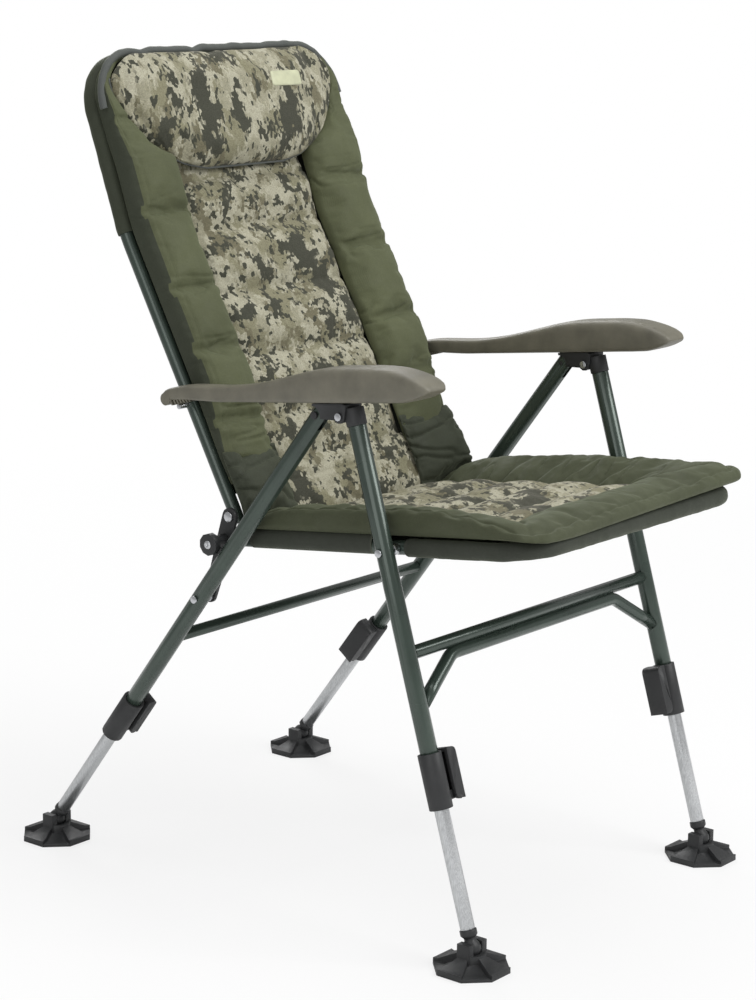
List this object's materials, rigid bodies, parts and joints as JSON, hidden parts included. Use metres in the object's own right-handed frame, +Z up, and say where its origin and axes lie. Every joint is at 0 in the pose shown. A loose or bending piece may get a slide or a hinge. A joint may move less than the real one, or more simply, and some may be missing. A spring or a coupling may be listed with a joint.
{
  "type": "folding fishing chair",
  "caption": "High-backed folding fishing chair with a padded camouflage seat and back, armrests with a recline rack, telescopic legs and swivelling mud feet.",
  "frame": {"origin": "on the floor, at the centre of the bounding box seen from above", "axes": "+Z up, -Y the way the sitter faces, +X towards the sitter's left"},
  "size_m": [0.6678, 0.915, 1.1909],
  "materials": {
    "green_tube": "satin",
    "black_plastic": "matte",
    "bare_aluminium": "satin",
    "steel_hardware": "satin",
    "khaki_plastic": "satin",
    "camouflage_cloth": "matte",
    "sling_cloth": "matte",
    "olive_cloth": "matte"
  },
  "bodies": {
    "front_frame": {"front_leg_right": "green_tube", "front_leg_left": "green_tube", "front_leg_cap_right": "black_plastic", "front_leg_cap_left": "black_plastic", "front_crossbar_upper": "green_tube", "front_crossbar_lower": "green_tube", "lock_sleeve_front_right": "black_plastic", "lock_sleeve_front_left": "black_plastic", "seat_bolt_right": "steel_hardware", "seat_bolt_left": "steel_hardware"},
    "rear_frame": {"rear_leg_right": "green_tube", "rear_leg_left": "green_tube", "rear_crossbar": "green_tube", "lock_sleeve_rear_right": "black_plastic", "lock_sleeve_rear_left": "black_plastic", "link_bolt_right": "steel_hardware", "link_bolt_left": "steel_hardware"},
    "arm_brackets": {"arm_bracket_right": "black_plastic", "arm_bracket_left": "black_plastic", "apex_bolt_right": "steel_hardware", "apex_bolt_left": "steel_hardware"},
    "armrest_lift_right": {"armrest_right": "khaki_plastic"},
    "armrest_lift_left": {"armrest_left": "khaki_plastic"},
    "seat": {"seat_frame": "green_tube", "seat_rear_tube": "green_tube", "seat_sling": "sling_cloth", "seat_pad": "camouflage_cloth", "seat_bolster_right": "olive_cloth", "seat_bolster_left": "olive_cloth", "seat_front_border": "olive_cloth"},
    "links": {"hinge_link_right": "black_plastic", "hinge_link_left": "black_plastic", "back_hinge_screw_right": "steel_hardware", "back_hinge_screw_left": "steel_hardware"},
    "knob_right": {"axle_knob_right": "black_plastic"},
    "knob_left": {"axle_knob_left": "black_plastic"},
    "backrest": {"back_frame": "green_tube", "back_sling": "sling_cloth", "back_pad": "camouflage_cloth", "back_bolster_right": "olive_cloth", "back_bolster_left": "olive_cloth", "headrest_pillow": "camouflage_cloth", "recline_pin_right": "steel_hardware", "recline_pin_left": "steel_hardware"},
    "inner_leg_front_right": {"inner_leg_front_right": "bare_aluminium", "leg_plug_front_right": "black_plastic"},
    "foot_front_right": {"mud_foot_front_right": "black_plastic"},
    "lever_front_right": {"lock_lever_front_right": "black_plastic"},
    "inner_leg_front_left": {"inner_leg_front_left": "bare_aluminium", "leg_plug_front_left": "black_plastic"},
    "foot_front_left": {"mud_foot_front_left": "black_plastic"},
    "lever_front_left": {"lock_lever_front_left": "black_plastic"},
    "inner_leg_rear_right": {"inner_leg_rear_right": "bare_aluminium", "leg_plug_rear_right": "black_plastic"},
    "foot_rear_right": {"mud_foot_rear_right": "black_plastic"},
    "lever_rear_right": {"lock_lever_rear_right": "black_plastic"},
    "inner_leg_rear_left": {"inner_leg_rear_left": "bare_aluminium", "leg_plug_rear_left": "black_plastic"},
    "foot_rear_left": {"mud_foot_rear_left": "black_plastic"},
    "lever_rear_left": {"lock_lever_rear_left": "black_plastic"}
  },
  "joints": [
    {"name": "seat_fold", "type": "hinge", "parent": "front_frame", "child": "seat", "pos_m": [0, -0.23344, 0.54999], "axis": [-1, 0, 0], "range_deg": [0, 78]},
    {"name": "bracket_fold", "type": "hinge", "parent": "front_frame", "child": "arm_brackets", "pos_m": [0, -0.16633, 0.727], "axis": [-1, 0, 0], "range_deg": [0, 72.01]},
    {"name": "rear_leg_fold", "type": "hinge", "parent": "arm_brackets", "child": "rear_frame", "pos_m": [0, -0.12033, 0.723], "axis": [-1, 0, 0], "range_deg": [-21.48, 0]},
    {"name": "link_fold", "type": "hinge", "parent": "seat", "child": "links", "pos_m": [0, 0.07565, 0.51326], "axis": [-1, 0, 0], "range_deg": [0, 97.01]},
    {"name": "back_fold", "type": "hinge", "parent": "links", "child": "backrest", "pos_m": [0, 0.06565, 0.54956], "axis": [-1, 0, 0], "range_deg": [-179.01, 4]},
    {"name": "armrest_lift_right", "type": "hinge", "parent": "arm_brackets", "child": "armrest_lift_right", "pos_m": [-0.284, -0.16905, 0.75453], "axis": [1, 0, 0], "range_deg": [0, 15]},
    {"name": "knob_turn_right", "type": "hinge", "parent": "links", "child": "knob_right", "pos_m": [-0.284, 0.07565, 0.51326], "axis": [1, 0, 0], "continuous": true},
    {"name": "armrest_lift_left", "type": "hinge", "parent": "arm_brackets", "child": "armrest_lift_left", "pos_m": [0.284, -0.16905, 0.75453], "axis": [1, 0, 0], "range_deg": [0, 15]},
    {"name": "knob_turn_left", "type": "hinge", "parent": "links", "child": "knob_left", "pos_m": [0.284, 0.07565, 0.51326], "axis": [1, 0, 0], "continuous": true},
    {"name": "leg_slide_front_right", "type": "slide", "parent": "front_frame", "child": "inner_leg_front_right", "axis": [0, -0.2874, -0.9578], "range_m": [-0.15, 0.03]},
    {"name": "foot_tilt_front_right", "type": "hinge", "parent": "inner_leg_front_right", "child": "foot_front_right", "pos_m": [-0.284, -0.38944, 0.03], "axis": [1, 0, 0], "range_deg": [-20, 20]},
    {"name": "lock_lever_front_right", "type": "hinge", "parent": "front_frame", "child": "lever_front_right", "pos_m": [-0.256, -0.33034, 0.22702], "axis": [0, 0.9578, -0.2874], "range_deg": [0, 90]},
    {"name": "leg_slide_front_left", "type": "slide", "parent": "front_frame", "child": "inner_leg_front_left", "axis": [0, -0.2874, -0.9578], "range_m": [-0.15, 0.03]},
    {"name": "foot_tilt_front_left", "type": "hinge", "parent": "inner_leg_front_left", "child": "foot_front_left", "pos_m": [0.284, -0.38944, 0.03], "axis": [1, 0, 0], "range_deg": [-20, 20]},
    {"name": "lock_lever_front_left", "type": "hinge", "parent": "front_frame", "child": "lever_front_left", "pos_m": [0.256, -0.33034, 0.22702], "axis": [0, -0.9578, 0.2874], "range_deg": [0, 90]},
    {"name": "leg_slide_rear_right", "type": "slide", "parent": "rear_frame", "child": "inner_leg_rear_right", "axis": [0, 0.606, -0.7955], "range_m": [-0.15, 0.03]},
    {"name": "foot_tilt_rear_right", "type": "hinge", "parent": "inner_leg_rear_right", "child": "foot_rear_right", "pos_m": [-0.284, 0.40759, 0.03], "axis": [1, 0, 0], "range_deg": [-20, 20]},
    {"name": "lock_lever_rear_right", "type": "hinge", "parent": "rear_frame", "child": "lever_rear_right", "pos_m": [-0.256, 0.27635, 0.20228], "axis": [0, 0.7955, 0.606], "range_deg": [0, 90]},
    {"name": "leg_slide_rear_left", "type": "slide", "parent": "rear_frame", "child": "inner_leg_rear_left", "axis": [0, 0.606, -0.7955], "range_m": [-0.15, 0.03]},
    {"name": "foot_tilt_rear_left", "type": "hinge", "parent": "inner_leg_rear_left", "child": "foot_rear_left", "pos_m": [0.284, 0.40759, 0.03], "axis": [1, 0, 0], "range_deg": [-20, 20]},
    {"name": "lock_lever_rear_left", "type": "hinge", "parent": "rear_frame", "child": "lever_rear_left", "pos_m": [0.256, 0.27635, 0.20228], "axis": [0, -0.7955, -0.606], "range_deg": [0, 90]}
  ],
  "couplings": [
    {"joint": "bracket_fold", "follows": "seat_fold", "ratio": 0.92308},
    {"joint": "rear_leg_fold", "follows": "seat_fold", "ratio": -0.27525},
    {"joint": "link_fold", "follows": "seat_fold", "ratio": 1.2436},
    {"joint": "back_fold", "follows": "seat_fold", "ratio": -2.2949}
  ]
}
